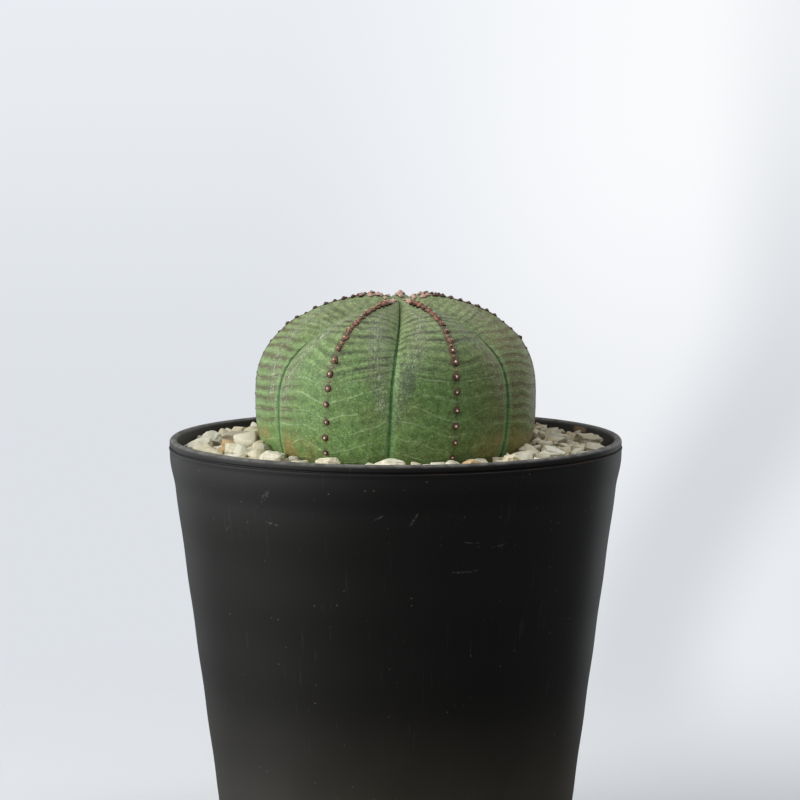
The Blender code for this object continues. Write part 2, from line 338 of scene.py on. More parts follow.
# %% [markdown]
# ## The pot
#
# A nursery pot is injection moulded: a straight tapered wall, a slightly thicker collar at the
# top, a rolled lip with a parting groove under it, and a raised base with drain holes. It could
# be a Screw modifier on an outline. Here one ring is extruded and resized again and again, as on
# a lathe, because that keeps every ring's place in plain sight.

# %% The pot's outline
POT_BASE_RADIUS = 39.0 * MM
POT_WALL = 1.8 * MM
COLLAR_HEIGHT = 6.3 * MM
COLLAR_STEP = 0.7 * MM
COLLAR_SLOPE = 8.0 * MM
COLLAR_RINGS = 10
LIP_HEIGHT = 1.7 * MM
LIP_ROUND = 0.55 * LIP_HEIGHT
GROOVE = 0.3 * MM
FOOT_HEIGHT = 2.0 * MM
FOOT_WIDTH = 3.0 * MM
FOOT_ROUND = (0.95 * MM, 0.9 * MM)
FLOOR_TOP = FOOT_HEIGHT + 1.8 * MM
FLOOR_FILLET = 3.0 * MM
RIPPLE = 0.06 * MM
RIPPLE_LENGTH = 17.0 * MM
POT_SIDES = 192
CENTRE_RING = 1.0 * MM
INNER_STEPS = 12
WALL_RINGS = 66
DRAIN_HOLES = 6
DRAIN_RING = 24.0 * MM
DRAIN_RADIUS = 4.0 * MM


def wall_radius(height):
    top = CREST - COLLAR_HEIGHT
    return POT_BASE_RADIUS + (RIM_RADIUS - COLLAR_STEP - POT_BASE_RADIUS) * height / top


def arc(centre, radii, start, end, steps):
    """Points on an ellipse's arc, angles in degrees, as (radius, height)."""
    points = []
    for step in range(steps + 1):
        angle = math.radians(start + (end - start) * step / steps)
        points.append((centre[0] + radii[0] * math.cos(angle), centre[1] + radii[1] * math.sin(angle)))
    return points


def pot_outline():
    """From the middle of the floor inside, over the lip, down and under to the middle again."""
    lip_base = CREST - LIP_HEIGHT
    collar_base = CREST - COLLAR_HEIGHT
    inner_top = wall_radius(lip_base) - POT_WALL
    outer_lip = RIM_RADIUS - 0.5 * GROOVE
    lip_middle = 0.5 * (outer_lip + inner_top)
    lip_half = outer_lip - lip_middle
    corner = wall_radius(FLOOR_TOP + FLOOR_FILLET) - POT_WALL - FLOOR_FILLET
    points = [(CENTRE_RING, FLOOR_TOP), (0.5 * corner, FLOOR_TOP)]
    points += arc((corner, FLOOR_TOP + FLOOR_FILLET), (FLOOR_FILLET, FLOOR_FILLET), -90, 0, 5)
    inner_start = FLOOR_TOP + 2 * FLOOR_FILLET
    for step in range(INNER_STEPS + 1):
        height = inner_start + (lip_base - inner_start) * step / INNER_STEPS
        points.append((wall_radius(height) - POT_WALL, height))
    points += arc((lip_middle, CREST - LIP_ROUND), (lip_half, LIP_ROUND), 180, 0, 14)
    points += arc((outer_lip - GROOVE, lip_base + GROOVE), (GROOVE, GROOVE), 0, -60, 3)
    points += [
        (RIM_RADIUS - 2.0 * GROOVE, lip_base - 0.2 * GROOVE),
        (RIM_RADIUS - 1.8 * GROOVE, lip_base - 0.8 * GROOVE),
    ]
    points += arc((RIM_RADIUS - GROOVE, lip_base - 2.0 * GROOVE), (GROOVE, GROOVE), 70, 0, 3)
    for step in range(COLLAR_RINGS + 1):
        share = step / COLLAR_RINGS
        height = collar_base + COLLAR_SLOPE * (0.45 - share)
        eased = share * share * (3 - 2 * share)
        points.append((outer_lip + (wall_radius(height) - RIPPLE - outer_lip) * eased, height))
    top = collar_base - 0.6 * COLLAR_SLOPE
    for step in range(WALL_RINGS + 1):
        height = top + (FOOT_HEIGHT - top) * step / WALL_RINGS
        ripple = RIPPLE * math.sin(FULL_TURN * height / RIPPLE_LENGTH) - RIPPLE
        points.append((wall_radius(height) + ripple, height))
    points += arc((POT_BASE_RADIUS - 1.0 * MM, FOOT_ROUND[1]), FOOT_ROUND, -10, -90, 5)
    points += [
        (POT_BASE_RADIUS - FOOT_WIDTH, 0.0),
        (POT_BASE_RADIUS - FOOT_WIDTH - 0.4 * MM, 0.4 * MM),
        (POT_BASE_RADIUS - FOOT_WIDTH - 0.5 * MM, FOOT_HEIGHT),
        (0.5 * POT_BASE_RADIUS, FOOT_HEIGHT),
        (CENTRE_RING, FOOT_HEIGHT),
    ]
    return points


# %% Turning a ring into a pot
def turn_rings(points, sides):
    """One ring, extruded and resized to each point of the outline in turn, then capped."""
    nothing_selected()
    radius, height = points[0]
    bpy.ops.mesh.primitive_circle_add(vertices=sides, radius=radius, location=(0, 0, height))
    turned = bpy.context.object
    apply_place(turned)
    edit_all(turned)
    for next_radius, next_height in points[1:]:
        bpy.ops.mesh.extrude_region_move(TRANSFORM_OT_translate={"value": (0, 0, next_height - height)})
        share = next_radius / radius
        bpy.ops.transform.resize(value=(share, share, 1.0), center_override=(0, 0, next_height))
        radius, height = next_radius, next_height
    bpy.ops.mesh.select_all(action="SELECT")
    bpy.ops.mesh.fill_holes(sides=0)
    bpy.ops.mesh.normals_make_consistent(inside=False)
    bpy.ops.object.mode_set(mode="OBJECT")
    return turned


def drill_drain_holes(pot):
    drills = []
    for i in range(DRAIN_HOLES + 1):
        reach = DRAIN_RING if i else 0.0
        angle = FULL_TURN * (i - 1) / DRAIN_HOLES
        place = (reach * math.cos(angle), reach * math.sin(angle), FOOT_HEIGHT)
        nothing_selected()
        bpy.ops.mesh.primitive_cylinder_add(
            vertices=32, radius=DRAIN_RADIUS, depth=3 * FOOT_HEIGHT, location=place)
        drills.append(bpy.context.object)
    drill = join(drills)
    apply_place(drill)
    boolean = pot.modifiers.new("Drain", "BOOLEAN")
    boolean.operation = "DIFFERENCE"
    boolean.solver = "EXACT"
    boolean.object = drill
    apply_modifiers(pot)
    bpy.data.objects.remove(drill, do_unlink=True)


pot = turn_rings(pot_outline(), POT_SIDES)
drill_drain_holes(pot)
only(pot)
bpy.ops.object.shade_smooth_by_angle(angle=math.radians(40))
print("pot top in mm:", round(max(v.co.z for v in pot.data.vertices) / MM, 2))

# %% [markdown]
# ## Black moulded plastic
#
# The plastic is nearly black with a low sheen. Soil dust has settled low on the wall, and handling
# leaves upright scratches, short scuffs and specks. The upper left of the collar, on the key-lit
# side, is painted lighter as a sheen, and the lip's crest is painted pale, as wear and a painted
# highlight. A dirt spot has dried on the inner wall. An image would need unwrapping; here the
# pattern runs round the pot, so it reads an arc length and a distance below the crest instead of
# plain X and Z.

# %% The pot's finish
MEAN_WALL_RADIUS = 45.0
SCUFF_CURVE = 0.04
# arc length, distance below the crest, half length, half width and lean, lengths in millimetres
SCUFFS = (
    (-26.0, 8.0, 1.4, 0.9, 1.0), (-3.0, 11.5, 1.2, 0.25, 0.6), (3.5, 12.0, 1.0, 0.7, 1.6),
    (14.0, 24.0, 3.6, 0.28, 0.04), (15.0, 17.5, 2.0, 0.25, -0.1), (21.0, 18.5, 2.0, 0.25, 0.2),
    (-25.0, 14.0, 2.0, 0.3, -0.2),
)
DIRT_SPOT_AT = 93.0


def scuff(arc_length, below, place, depth, half_length, half_width, lean):
    """One short rubbed mark, a thin bent oval."""
    x = minus(arc_length, place)
    y = minus(minus(depth, below), plus(times(x, lean), times(x, x, SCUFF_CURVE)))
    x, y = times(x, 1 / half_length), times(y, 1 / half_width)
    return fade(plus(times(x, x), times(y, y)), 1.0, 0.3)


def make_pot_plastic():
    material, tree, shader = new_finish("pot_plastic", Specular_IOR_Level=0.28, IOR=1.49)
    where = in_millimetres(tree)
    rightwards, backwards, height = parts_of(where)
    arc_length = times(calc("ARCTAN2", rightwards, times(backwards, -1.0)), MEAN_WALL_RADIUS)
    radius = calc("SQRT", plus(times(rightwards, rightwards), times(backwards, backwards)))
    wrapped = vector_of(arc_length, height, radius)
    below = minus(CREST / MM, height)
    inset = minus(RIM_RADIUS / MM, radius)
    grain = noise(where, 3.2, 2.0, 0.6)
    film = noise(stretched(where, 1.0, 1.0, 0.5), 0.05, 3.0)
    colour = blended(film, (0.0030, 0.0028, 0.0024), (0.0058, 0.0056, 0.0052))

    # dust that has settled on the lower wall, and painted sheen: the upper left of the collar, on the
    # key-lit side, is painted lighter
    low_wall = fade(height, 66.0, 20.0)
    settled = times(low_wall, low_wall, fade(rightwards, -10.0, 32.0, 0.7, 1.0),
                    fade(film, 0.3, 0.7, 0.8, 1.0))
    dust_tone = blended(fade(rightwards, -36.0, 0.0), (0.062, 0.060, 0.056), (0.076, 0.067, 0.050))
    colour = blended(times(settled, 0.9), colour, dust_tone)
    lit_collar_sheen = times(fade(below, 20.0, 5.0), fade(rightwards, 5.0, -37.0))
    colour = blended(times(lit_collar_sheen, 0.7), colour, (0.019, 0.019, 0.020))

    upright = noise(stretched(wrapped, 1.6, 0.05, 0.3), 1.0, 4.0, 0.65)
    scratch = times(fade(upright, 0.60, 0.70), fade(noise(where, 0.06, 2.0), 0.44, 0.60))
    colour = blended(times(scratch, 0.55), colour, (0.045, 0.044, 0.042))
    scuffs = scuff(arc_length, below, *SCUFFS[0])
    for mark in SCUFFS[1:]:
        scuffs = calc("MAXIMUM", scuffs, scuff(arc_length, below, *mark))
    scuffs = times(scuffs, fade(noise(where, 1.3, 3.0, 0.7), 0.42, 0.60))
    colour = blended(times(scuffs, 0.7), colour, (0.085, 0.083, 0.080))
    dust = flecks(where, 0.62, 0.26, 0.17)
    colour = blended(times(dust, 0.8), colour, (0.15, 0.145, 0.13))

    # the groove under the lip holds brown dust on the right; the crest is painted pale, as wear together
    # with a painted highlight
    groove = times(fade(below, 2.3, 2.0), fade(below, 1.55, 1.75), fade(inset, 1.0, 0.7),
                   fade(rightwards, 0.0, 24.0, 0.12, 1.0), patches(wrapped, 0.12, 0.62, 0.3))
    colour = blended(times(groove, 0.6), colour, (0.085, 0.055, 0.040))
    crest_pale_grain = fade(noise(wrapped, 0.5, 3.0, 0.6), 0.35, 0.65, 0.45, 1.0)
    crest_wear_and_highlight = times(fade(below, 0.85, 0.10), crest_pale_grain)
    colour = blended(times(crest_wear_and_highlight, 0.85), colour, (0.175, 0.172, 0.160))

    # chalky water marks and one tan spot on the inner wall
    inside = times(fade(inset, 1.5, 1.9), fade(below, 10.5, 9.5))
    chalky = fade(noise(where, 0.10), 0.35, 0.65, 0.35, 0.9)
    colour = blended(times(inside, chalky), colour, (0.024, 0.021, 0.018))
    dirt_spot = times(inside, fade(calc("ABSOLUTE", minus(arc_length, DIRT_SPOT_AT)), 3.2, 1.2),
                      fade(below, 2.4, 1.7), fade(below, 0.5, 1.0))
    colour = blended(times(dirt_spot, 0.9), colour, (0.36, 0.24, 0.13))

    rough = minus(plus(0.54, times(film, 0.08), times(scratch, 0.12), times(groove, 0.3)), times(crest_wear_and_highlight, 0.14))
    surface = plus(minus(times(grain, 0.5), times(scratch, 0.5)), dust)
    connect(shader, Base_Color=colour, Roughness=rough, Normal=bump(surface, 0.03 * MM, 0.5))
    return material


finish_piece(pot, "nursery_pot", [make_pot_plastic()], ["pot"])

# %% [markdown]
# ## The stem's form
#
# The stem is one fleshy globe with seven ribs. A UV sphere is the start, and each of its points
# is moved to the skin. The furrows are shallow round the middle and deep on the shoulders, the
# crown is dimpled, and the ribs twist a little as they climb. More meridians are drawn in to
# the furrows, where the crease is tight.

# %% The skin as a function
UPPER_FULLNESS = 2.58
LOWER_FULLNESS = 2.8
SIDE_WIDENING = math.radians(5.5)
TWIST_LOW = math.radians(-0.8)
TWIST_RISE = math.radians(4.5)
TWIST_FROM, TWIST_OVER = math.radians(110), math.radians(85)
PINCH = math.radians(10.5)
PINCH_FADE = math.radians(30.0)
CROWN_NOD = 1.9 * MM
FURROW_AT_EQUATOR = 1.05 * MM
FURROW_AT_SHOULDER = 4.0 * MM
CROWN_DIMPLE = 1.6 * MM
CROWN_DIMPLE_RADIUS = 4.5 * MM
CREASE_SHARE, CREASE_POWER = 0.22, 14
STEM_LEAN = 0.8 * MM


def ridge_line(polar):
    """Radius, height and outward normal of a ridge at an angle down from the crown."""
    upper = polar <= math.pi / 2
    reach = STEM_RISE if upper else -STEM_UNDER
    power_r = 2.0 if upper else LOWER_FULLNESS
    power_z = UPPER_FULLNESS if upper else LOWER_FULLNESS
    across = max(math.sin(polar), 0.0) ** (2 / power_r)
    along = abs(math.cos(polar)) ** (2 / power_z)
    normal = Vector((
        power_r / STEM_RADIUS * across ** (power_r - 1),
        power_z / reach * along ** (power_z - 1),
    )).normalized()
    return STEM_RADIUS * across, EQUATOR + reach * along, normal


def furrow_depth(polar):
    across = math.sin(polar)
    if polar > math.pi / 2:
        return FURROW_AT_EQUATOR * across
    swell = math.sin(math.pi * (1 - across) ** 0.7)
    depth = FURROW_AT_EQUATOR + (FURROW_AT_SHOULDER - FURROW_AT_EQUATOR) * swell
    return depth * min(4 * across, 1.0) ** 0.5


def rib_share(turn):
    """0 on a ridge, 1 in a furrow; turn 0 is the front furrow."""
    rib = FULL_TURN / RIBS
    return abs((turn % rib) / rib - 0.5) * 2


def ridge_turn(rib):
    return FULL_TURN / RIBS * (rib + 0.5)


def azimuth_of(turn, polar):
    """The ribs don't run straight down: they twist a little, and the front two close up on top."""
    turn = (turn + math.pi) % FULL_TURN - math.pi
    climb = min(max((TWIST_FROM - polar) / TWIST_OVER, 0.0), 1.15)
    twist = (TWIST_LOW + TWIST_RISE * climb) * math.cos(turn / 2) ** 2
    pinch = 0.0
    if abs(turn) < 4 * math.pi / RIBS:
        pinch = -PINCH * math.exp(-polar / PINCH_FADE) * math.sin(RIBS / 2 * turn)
    widening = SIDE_WIDENING * math.sin(turn) * abs(math.sin(turn))
    return turn + widening + twist + pinch + RIB_TURN


def skin_point(turn, polar, lift=0.0):
    radius, height, normal = ridge_line(polar)
    share = rib_share(turn)
    section = (1 - CREASE_SHARE) * share ** 2 + CREASE_SHARE * share ** CREASE_POWER
    move = lift - furrow_depth(polar) * section
    radius += normal[0] * move
    height += normal[1] * move
    if polar < math.pi / 2:
        height -= CROWN_DIMPLE * math.exp(-(radius / CROWN_DIMPLE_RADIUS) ** 2)
    azimuth = azimuth_of(turn, polar)
    rise = min(max((height - EQUATOR) / STEM_RISE, 0.0), 1.0)
    forward = max(math.cos(azimuth), 0.0) * min(radius / (8 * MM), 1.0)
    height -= CROWN_NOD * forward * rise ** 8
    return Vector((
        radius * math.sin(azimuth) + STEM_LEAN * rise ** 2,
        -radius * math.cos(azimuth),
        height,
    ))


def ridge_lengths(steps=600):
    """Length of skin from the crown down a ridge to each of many polar angles, in metres."""
    lengths = [0.0]
    before = ridge_line(0.0)
    for step in range(1, steps + 1):
        here = ridge_line(math.pi * step / steps)
        lengths.append(lengths[-1] + math.hypot(here[0] - before[0], here[1] - before[1]))
        before = here
    return lengths


RIDGE_LENGTHS = ridge_lengths()


def length_at(polar):
    place = polar / math.pi * (len(RIDGE_LENGTHS) - 1)
    low = min(int(place), len(RIDGE_LENGTHS) - 2)
    return RIDGE_LENGTHS[low] + (RIDGE_LENGTHS[low + 1] - RIDGE_LENGTHS[low]) * (place - low)


def polar_at(length):
    for i, reached in enumerate(RIDGE_LENGTHS):
        if reached >= length:
            return math.pi * i / (len(RIDGE_LENGTHS) - 1)
    return math.pi


print("whole ridge in mm:", round(RIDGE_LENGTHS[-1] / MM, 1))

# %% [markdown]
# ## Where the buds sit
#
# Buds leave scars along each ridge: crowded near the crown, wider apart lower down as the
# skin has grown. Their places are worked out before the skin is shaped, because each stands
# on a small swelling.

# %% Bud places
BUD_SEED = 5
CROWN_BUD_LENGTH = 6.6 * MM
FIRST_BUD = 8.4 * MM
TIGHT_SPACING = 1.9 * MM
WIDE_SPACING = 3.75 * MM
LAST_BUD = 57.5 * MM
UPPER_BUD = 1.10 * MM
LOWER_BUD = 0.78 * MM
SIDE_BUD_SCALE = 0.74
SIDE_BUD_SHRINK = 0.40
BETWEEN_BUD_SCALE = 0.58
BETWEEN_BUD_CHANCE = 0.6
FRONT_RIBS = (0, RIBS - 1)


def bud_places():
    """For each rib, the lengths down the ridge and the sizes of its buds."""
    chance = random.Random(BUD_SEED)
    rows = []
    for rib in range(RIBS):
        row = []
        full = 1.0 if rib in FRONT_RIBS else SIDE_BUD_SCALE
        length = FIRST_BUD + chance.uniform(-0.2, 0.4) * MM
        while length < LAST_BUD:
            share = (length - FIRST_BUD) / (LAST_BUD - FIRST_BUD)
            size = (UPPER_BUD + (LOWER_BUD - UPPER_BUD) * min(1.0, 1.4 * share)) * full
            if rib not in FRONT_RIBS:
                size *= 1 - SIDE_BUD_SHRINK * min(1.0, 1.6 * share)
            row.append((length, size * chance.uniform(0.82, 1.14), share))
            spacing = TIGHT_SPACING + (WIDE_SPACING - TIGHT_SPACING) * min(1.0, 1.2 * share)
            spacing *= chance.uniform(0.90, 1.10)
            if 0.15 < share < 0.62 and chance.random() < BETWEEN_BUD_CHANCE:
                row.append((length + 0.52 * spacing, BETWEEN_BUD_SCALE * size, 0.0))
            length += spacing
        rows.append(row)
    return rows


BUD_ROWS = bud_places()
print("buds on each rib:", [len(row) for row in BUD_ROWS])

# %% Growing the stem
STEM_MERIDIANS = 40 * RIBS
STEM_RINGS = 172
CROWDING = 0.6
SWELLING = 0.30 * MM
SWELLING_RADIUS = 1.5 * MM
SWELLING_FROM, SWELLING_TO = 5 * MM, 62 * MM
LEAST_RAISED_BUD = 0.5 * MM
RING_RIPPLE = 0.045 * MM
RING_SPACING = 2.3 * MM
RINGS_AT, RINGS_SPREAD = 22 * MM, 11 * MM


def crowded_to_furrows(turn):
    return turn - CROWDING * math.sin(RIBS * turn) / RIBS


def swelling_at(turn, length):
    """The small cushion under each bud, and soft growth rings on the shoulders."""
    rib = int((turn % FULL_TURN) / (FULL_TURN / RIBS))
    share = rib_share(turn)
    side = (1 - abs(1 - share)) * math.pi / RIBS * STEM_RADIUS
    raised = 0.0
    if side < 3 * SWELLING_RADIUS:
        for place, size, _ in BUD_ROWS[rib]:
            gap = abs(length - place)
            if size > LEAST_RAISED_BUD and gap < 3 * SWELLING_RADIUS:
                raised += SWELLING * math.exp(-(gap * gap + side * side) / SWELLING_RADIUS ** 2)
    rings = math.sin(FULL_TURN * (length + 1.6 * MM * share) / RING_SPACING)
    shoulder = math.exp(-((length - RINGS_AT) / RINGS_SPREAD) ** 2)
    return min(raised, 1.2 * SWELLING) + RING_RIPPLE * rings * shoulder * share


def grow_stem():
    nothing_selected()
    bpy.ops.mesh.primitive_uv_sphere_add(segments=STEM_MERIDIANS, ring_count=STEM_RINGS, radius=1.0)
    stem = bpy.context.object
    pattern = stem.data.attributes.new("skin", "FLOAT_VECTOR", "POINT")
    for i, vertex in enumerate(stem.data.vertices):
        x, y, z = vertex.co
        polar = math.acos(min(max(z, -1.0), 1.0))
        turn = crowded_to_furrows(math.atan2(x, -y)) if math.hypot(x, y) > 1e-6 else 0.0
        length = length_at(polar)
        lift = swelling_at(turn, length) if SWELLING_FROM < length < SWELLING_TO else 0.0
        vertex.co = skin_point(turn, polar, lift)
        pattern.data[i].vector = (rib_share(turn), length / MM, min(max(lift / SWELLING, 0.0), 1.0))
    only(stem)
    bpy.ops.object.shade_smooth()
    return stem


stem = grow_stem()
print("stem box in mm:", in_mm((stem.bound_box[0], stem.bound_box[6])))

# %% [markdown]
# ## The skin
#
# The skin carries its own map: how far a point lies from the ridge towards the furrow, how many
# millimetres it lies below the crown, and how far it swells under a bud. Dark cross bands ring
# the shoulders, pale veins climb from each bud to the furrow lower down, and greyish scurf
# streaks fan out of the furrow. Old skin near the gravel is corky, and the sunny side has turned
# olive brown. Bands and veins could be painted by hand, but a formula follows the ribs exactly.

# %% The skin's finish
BAND_SPACING = 2.5
THIN_BAND_SPACING = 0.95
VEIN_SPACING = 3.7
FAN_LEAVES_AT = 50.0
FAN_SLOPE = 0.0205
BRUISE_AT = (2.9, -31.0, EQUATOR / MM + 5.6)


def make_stem_skin():
    material, tree, shader = new_finish(
        "stem_skin", Specular_IOR_Level=0.26, Subsurface_Weight=0.04, Subsurface_Scale=0.6 * MM)
    shader.inputs["Subsurface Radius"].default_value = (0.9, 1.0, 0.4)
    where = in_millimetres(tree)
    rightwards = parts_of(where)["X"]
    aside = calc("ABSOLUTE", rightwards)
    across, down, swollen = parts_of(stored(tree, "skin", "Vector"))
    wander = minus(noise(where, 0.075, 2.0), 0.5)
    ragged = minus(noise(where, 0.45, 3.0, 0.6), 0.5)
    fine = noise(where, 2.6, 4.0, 0.7)
    mottle = noise(where, 0.9, 4.0, 0.7)

    colour = blended(fade(down, 16.0, 40.0), (0.220, 0.272, 0.132), (0.138, 0.246, 0.076))
    colour = blended(times(patches(where, 0.13, 0.58, 0.3), 0.5), colour, (0.150, 0.195, 0.062))
    colour = blended(times(patches(where, 0.32, 0.5, 0.3), 0.30), colour, (0.23, 0.32, 0.15))

    # growth lines: all run level at the furrow and sag towards the ridge, more so lower down
    outer = fade(aside, 18.5, 25.0)
    calm = fade(outer, 0.0, 1.0, 1.0, 0.35)
    sag = times(fade(down, 6.0, 46.0, 0.3, 4.2), calm)
    line = plus(down, times(across, sag), times(wander, 6.0), times(ragged, 0.35, calm))
    wavy_line = plus(line, times(ragged, 0.5, calm))
    band_wave = calc("SINE", times(wavy_line, FULL_TURN / BAND_SPACING))
    thin_wave = calc("SINE", times(wavy_line, FULL_TURN / THIN_BAND_SPACING))
    thin = times(fade(thin_wave, 0.2, 0.9), fade(outer, 0.0, 1.0, 0.55, 0.15))
    band = calc("MAXIMUM", fade(band_wave, -0.2, 0.95), thin)
    band_end = calc("MAXIMUM", fade(down, 42.0, 36.0), times(outer, fade(down, 56.0, 46.0)))
    band_place = times(fade(down, 4.0, 11.0), band_end, fade(down, 9.0, 24.0, 0.40, 1.0))
    band_map = vector_of(times(line, 0.42), times(across, 0.8), times(rightwards, 0.03))
    own_strength = times(fade(noise(band_map, 1.0, 2.0, 0.6), 0.32, 0.62, 0.38, 1.0),
                         fade(rightwards, -19.0, -12.0, 0.35, 1.0))
    own_strength = calc("MAXIMUM", own_strength, outer)
    band_break = patches(stretched(where, 1.0, 1.0, 1.8), 0.16, 0.66, 0.25)
    band_break = calc("MAXIMUM", band_break, times(outer, 0.9))
    band = times(band, band_place, own_strength, plus(0.55, times(band_break, 0.45)))
    band_colour = blended(outer, (0.052, 0.054, 0.036), (0.098, 0.078, 0.040))
    colour = blended(times(band, 0.92), colour, band_colour)
    colour = blended(times(fade(band_wave, -0.2, -0.95), band_place, 0.20), colour, (0.34, 0.42, 0.21))

    # pale veins, one from each bud up to the furrow, and a darker green between them
    vein_wave = calc("ABSOLUTE", calc("SINE", times(line, math.pi / VEIN_SPACING)))
    low_skin = fade(down, 34.0, 40.0)
    vein = times(fade(vein_wave, 0.30, 0.03), low_skin, fade(noise(where, 0.22, 2.0), 0.38, 0.56))
    colour = blended(times(vein, 0.62), colour, (0.30, 0.41, 0.20))
    colour = blended(times(fade(vein_wave, 0.75, 1.0), low_skin, 0.25), colour, (0.072, 0.130, 0.034))

    # scurf streaks that leave the furrow low down and fan out as they climb
    from_furrow = minus(1.0, across)
    fan = times(minus(FAN_LEAVES_AT, down), FAN_SLOPE)
    fan_gap = calc("ABSOLUTE", minus(plus(from_furrow, times(ragged, 0.10)), fan))
    fan_place = times(fade(down, 10.0, 20.0), fade(down, 52.0, 44.0))
    film = times(fade(fan_gap, 0.30, 0.04), fan_place)
    colour = blended(times(film, 0.28), colour, (0.155, 0.150, 0.115))
    core = times(fade(fan_gap, 0.17, 0.01), fan_place)
    streak_map = vector_of(times(minus(from_furrow, fan), 26.0), times(down, 0.35), times(rightwards, 0.07))
    streak = fade(noise(streak_map, 1.4, 4.0, 0.75), 0.55, 0.66)
    scurf = plus(times(core, plus(streak, times(flecks(where, 1.7, 0.6, 0.55), 1.1))),
                 times(film, flecks(where, 2.4, 0.4, 0.5)))
    scurf = calc("MINIMUM", scurf, 1.0)
    colour = blended(times(scurf, 0.84), colour, (0.50, 0.54, 0.42))

    # the olive brown of the sunny side, and ochre cork by the gravel
    sunny = times(fade(rightwards, 9.0, 30.0), plus(0.50, times(patches(where, 0.09, 0.6, 0.4), 0.50)))
    colour = blended(times(sunny, 0.78), colour, (0.158, 0.122, 0.034))
    low_edge = plus(down, times(noise(where, 0.25, 3.0, 0.6), 9.0), -4.5)
    cork = times(fade(low_edge, 49.5, 55.0), fade(aside, 14.0, 23.0), patches(where, 0.17, 0.64, 0.25), 0.8)
    colour = blended(cork, colour, (0.255, 0.185, 0.063))
    colour = blended(times(fade(low_edge, 55.0, 61.0), 0.5), colour, (0.120, 0.122, 0.040))

    # a dull bruise to the right of the front furrow
    from_bruise = vector_math("SUBTRACT", where, BRUISE_AT).outputs["Vector"]
    bruise_reach = plus(length_of(stretched(from_bruise, 0.50, 0.10, 0.24)), ragged)
    colour = blended(times(fade(bruise_reach, 1.05, 0.60), 0.60), colour, (0.055, 0.090, 0.052))

    # brown round each bud, a dark thread along the ridge, the furrow's line of painted shade and its pale
    # lips
    halo = times(fade(swollen, 0.35, 0.95), fade(across, 0.14, 0.04))
    colour = blended(times(halo, 0.60), colour, (0.105, 0.062, 0.040))
    ridge_end = calc("MAXIMUM", fade(down, 36.0, 20.0), times(outer, fade(down, 58.0, 46.0)))
    ridge = times(fade(across, 0.10, 0.03), ridge_end)
    colour = blended(times(ridge, 0.75), colour, (0.078, 0.048, 0.040))
    lips = times(fade(across, 0.88, 0.945), fade(across, 0.985, 0.955))
    colour = blended(times(lips, 0.45), colour, (0.27, 0.40, 0.18))
    low_furrow = times(fade(across, 0.90, 0.985), fade(down, 36.0, 46.0), 0.55)
    colour = blended(low_furrow, colour, (0.055, 0.190, 0.046))
    # painted shade: a dark line down the furrow's crease, strongest on the shoulders where the crease is
    # deepest
    notched = plus(across, times(ragged, 0.03), times(band, 0.012))
    furrow_shade_line = times(fade(notched, 0.968, 0.988), fade(down, 52.0, 36.0, 0.50, 1.0),
                        fade(down, 6.0, 16.0, 0.5, 1.0))
    colour = blended(times(furrow_shade_line, 0.90), colour, (0.028, 0.090, 0.024))

    # pale and dark grains all over
    pale_grain = plus(flecks(where, 2.2, 0.65, 0.45), flecks(shifted(where), 3.4, 0.6, 0.45))
    colour = blended(times(pale_grain, 0.66), colour, (0.44, 0.54, 0.32))
    colour = blended(times(flecks(shifted(where), 1.5, 0.55, 0.45), 0.60), colour, (0.045, 0.075, 0.026))
    softer = fade(outer, 0.0, 1.0, 1.0, 0.62)
    colour = blended(times(softer, 0.80), colour, grey(fade(mottle, 0.30, 0.70, 0.60, 1.38)), "MULTIPLY")
    colour = blended(times(softer, 0.60), colour, grey(fade(fine, 0.28, 0.72, 0.50, 1.50)), "MULTIPLY")

    rough = plus(0.44, times(scurf, 0.22), times(fine, 0.18))
    raised = plus(times(fine, 0.5), times(mottle, 0.5), times(vein, 0.5), times(scurf, 0.4))
    relief = minus(raised, plus(times(band, 0.8), furrow_shade_line))
    connect(shader, Base_Color=colour, Roughness=rough, Normal=bump(relief, 0.12 * MM, 0.85))
    return material


finish_piece(stem, "stem_globe", [make_stem_skin()], ["stem"])

# %% [markdown]
# ## Buds
#
# A low bud is a dry cup: a rust-brown ring with a pale heart. Near the crown the buds are shut
# knobs of three scales with a short tip, pale where the scales part. Each kind is modelled once
# at radius 1 and copied down the ridges, tilted to the skin. On the ribs that face sideways and
# back the husks are darker.

# %% One cup bud and one knob bud
def select_faces(obj, wanted):
    bpy.ops.object.mode_set(mode="OBJECT")
    for vertex in obj.data.vertices:
        vertex.select = False
    for edge in obj.data.edges:
        edge.select = False
    for face in obj.data.polygons:
        face.select = wanted(face)
    bpy.ops.object.mode_set(mode="EDIT")
    bpy.ops.mesh.select_mode(type="FACE")


def mark_rise(obj, top):
    """Writes how high each point of a bud stands, from 0 at the skin to 1 at the top."""
    rise = obj.data.attributes.new("rise", "FLOAT", "POINT")
    for item, vertex in zip(rise.data, obj.data.vertices):
        item.value = min(max(vertex.co.z / top, 0.0), 1.0)


def make_heart(radius, height):
    nothing_selected()
    bpy.ops.mesh.primitive_ico_sphere_add(subdivisions=1, radius=radius, location=(0, 0, height))
    heart = bpy.context.object
    apply_place(heart)
    return heart


def make_cup_bud(husk, pale):
    nothing_selected()
    bpy.ops.mesh.primitive_uv_sphere_add(segments=9, ring_count=6, radius=1.0)
    cup = bpy.context.object
    cup.scale = (1.0, 1.0, 0.48)
    apply_place(cup)
    edit_all(cup)
    select_faces(cup, lambda face: face.center.z > 0.40)
    bpy.ops.mesh.inset(thickness=0.08, depth=0.0)
    bpy.ops.transform.translate(value=(0, 0, -0.16))
    bpy.ops.transform.resize(value=(0.85, 0.85, 0.6), center_override=(0, 0, 0.26))
    bpy.ops.object.mode_set(mode="OBJECT")
    mark_rise(cup, 1.0)
    heart = make_heart(0.36, 0.30)
    cup.data.materials.append(husk)
    heart.data.materials.append(pale)
    bud = join([cup, heart])
    only(bud)
    bpy.ops.object.shade_smooth()
    return bud


